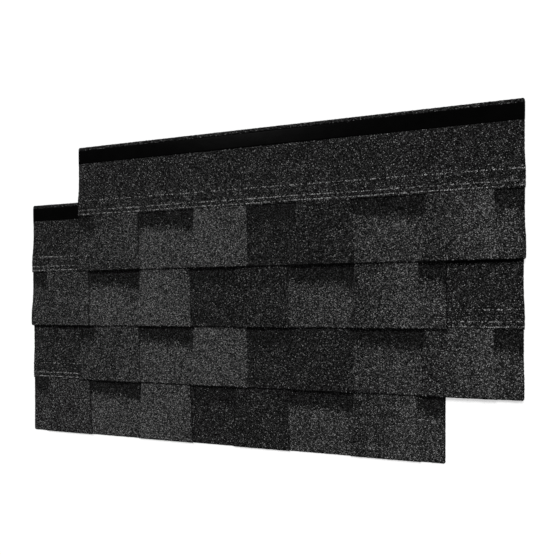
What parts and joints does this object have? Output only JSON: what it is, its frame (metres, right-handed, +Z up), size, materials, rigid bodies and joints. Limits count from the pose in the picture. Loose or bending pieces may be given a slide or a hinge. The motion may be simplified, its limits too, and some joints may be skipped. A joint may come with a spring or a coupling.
{
  "type": "asphalt shingle bundle",
  "caption": "Laminated asphalt shingles with dragon teeth, lying flat as overlapped, staggered courses, each with a backing ply, release tape and sealant line.",
  "frame": {"origin": "centre of the laid shingles' outline, on the floor that they lie on", "axes": "+X along the shingles' length, +Y from the lowest course to the uppermost, +Z up from the floor"},
  "size_m": [1.139, 0.734, 0.0142],
  "materials": {
    "granule_overlay": "matte charcoal mineral granules",
    "granule_backer": "matte charcoal mineral granules",
    "release_tape": "smooth black film",
    "sealant": "smooth black asphalt adhesive"
  },
  "bodies": {
    "root": {"course_1_backer": "granule_backer", "course_1_overlay": "granule_overlay", "course_1_release_tape": "release_tape", "course_1_sealant": "sealant", "course_2_backer": "granule_backer", "course_2_overlay": "granule_overlay", "course_2_release_tape": "release_tape", "course_2_sealant": "sealant", "course_3_backer": "granule_backer", "course_3_overlay": "granule_overlay", "course_3_release_tape": "release_tape", "course_3_sealant": "sealant", "course_4_backer": "granule_backer", "course_4_overlay": "granule_overlay", "course_4_release_tape": "release_tape", "course_4_sealant": "sealant"}
  },
  "joints": []
}
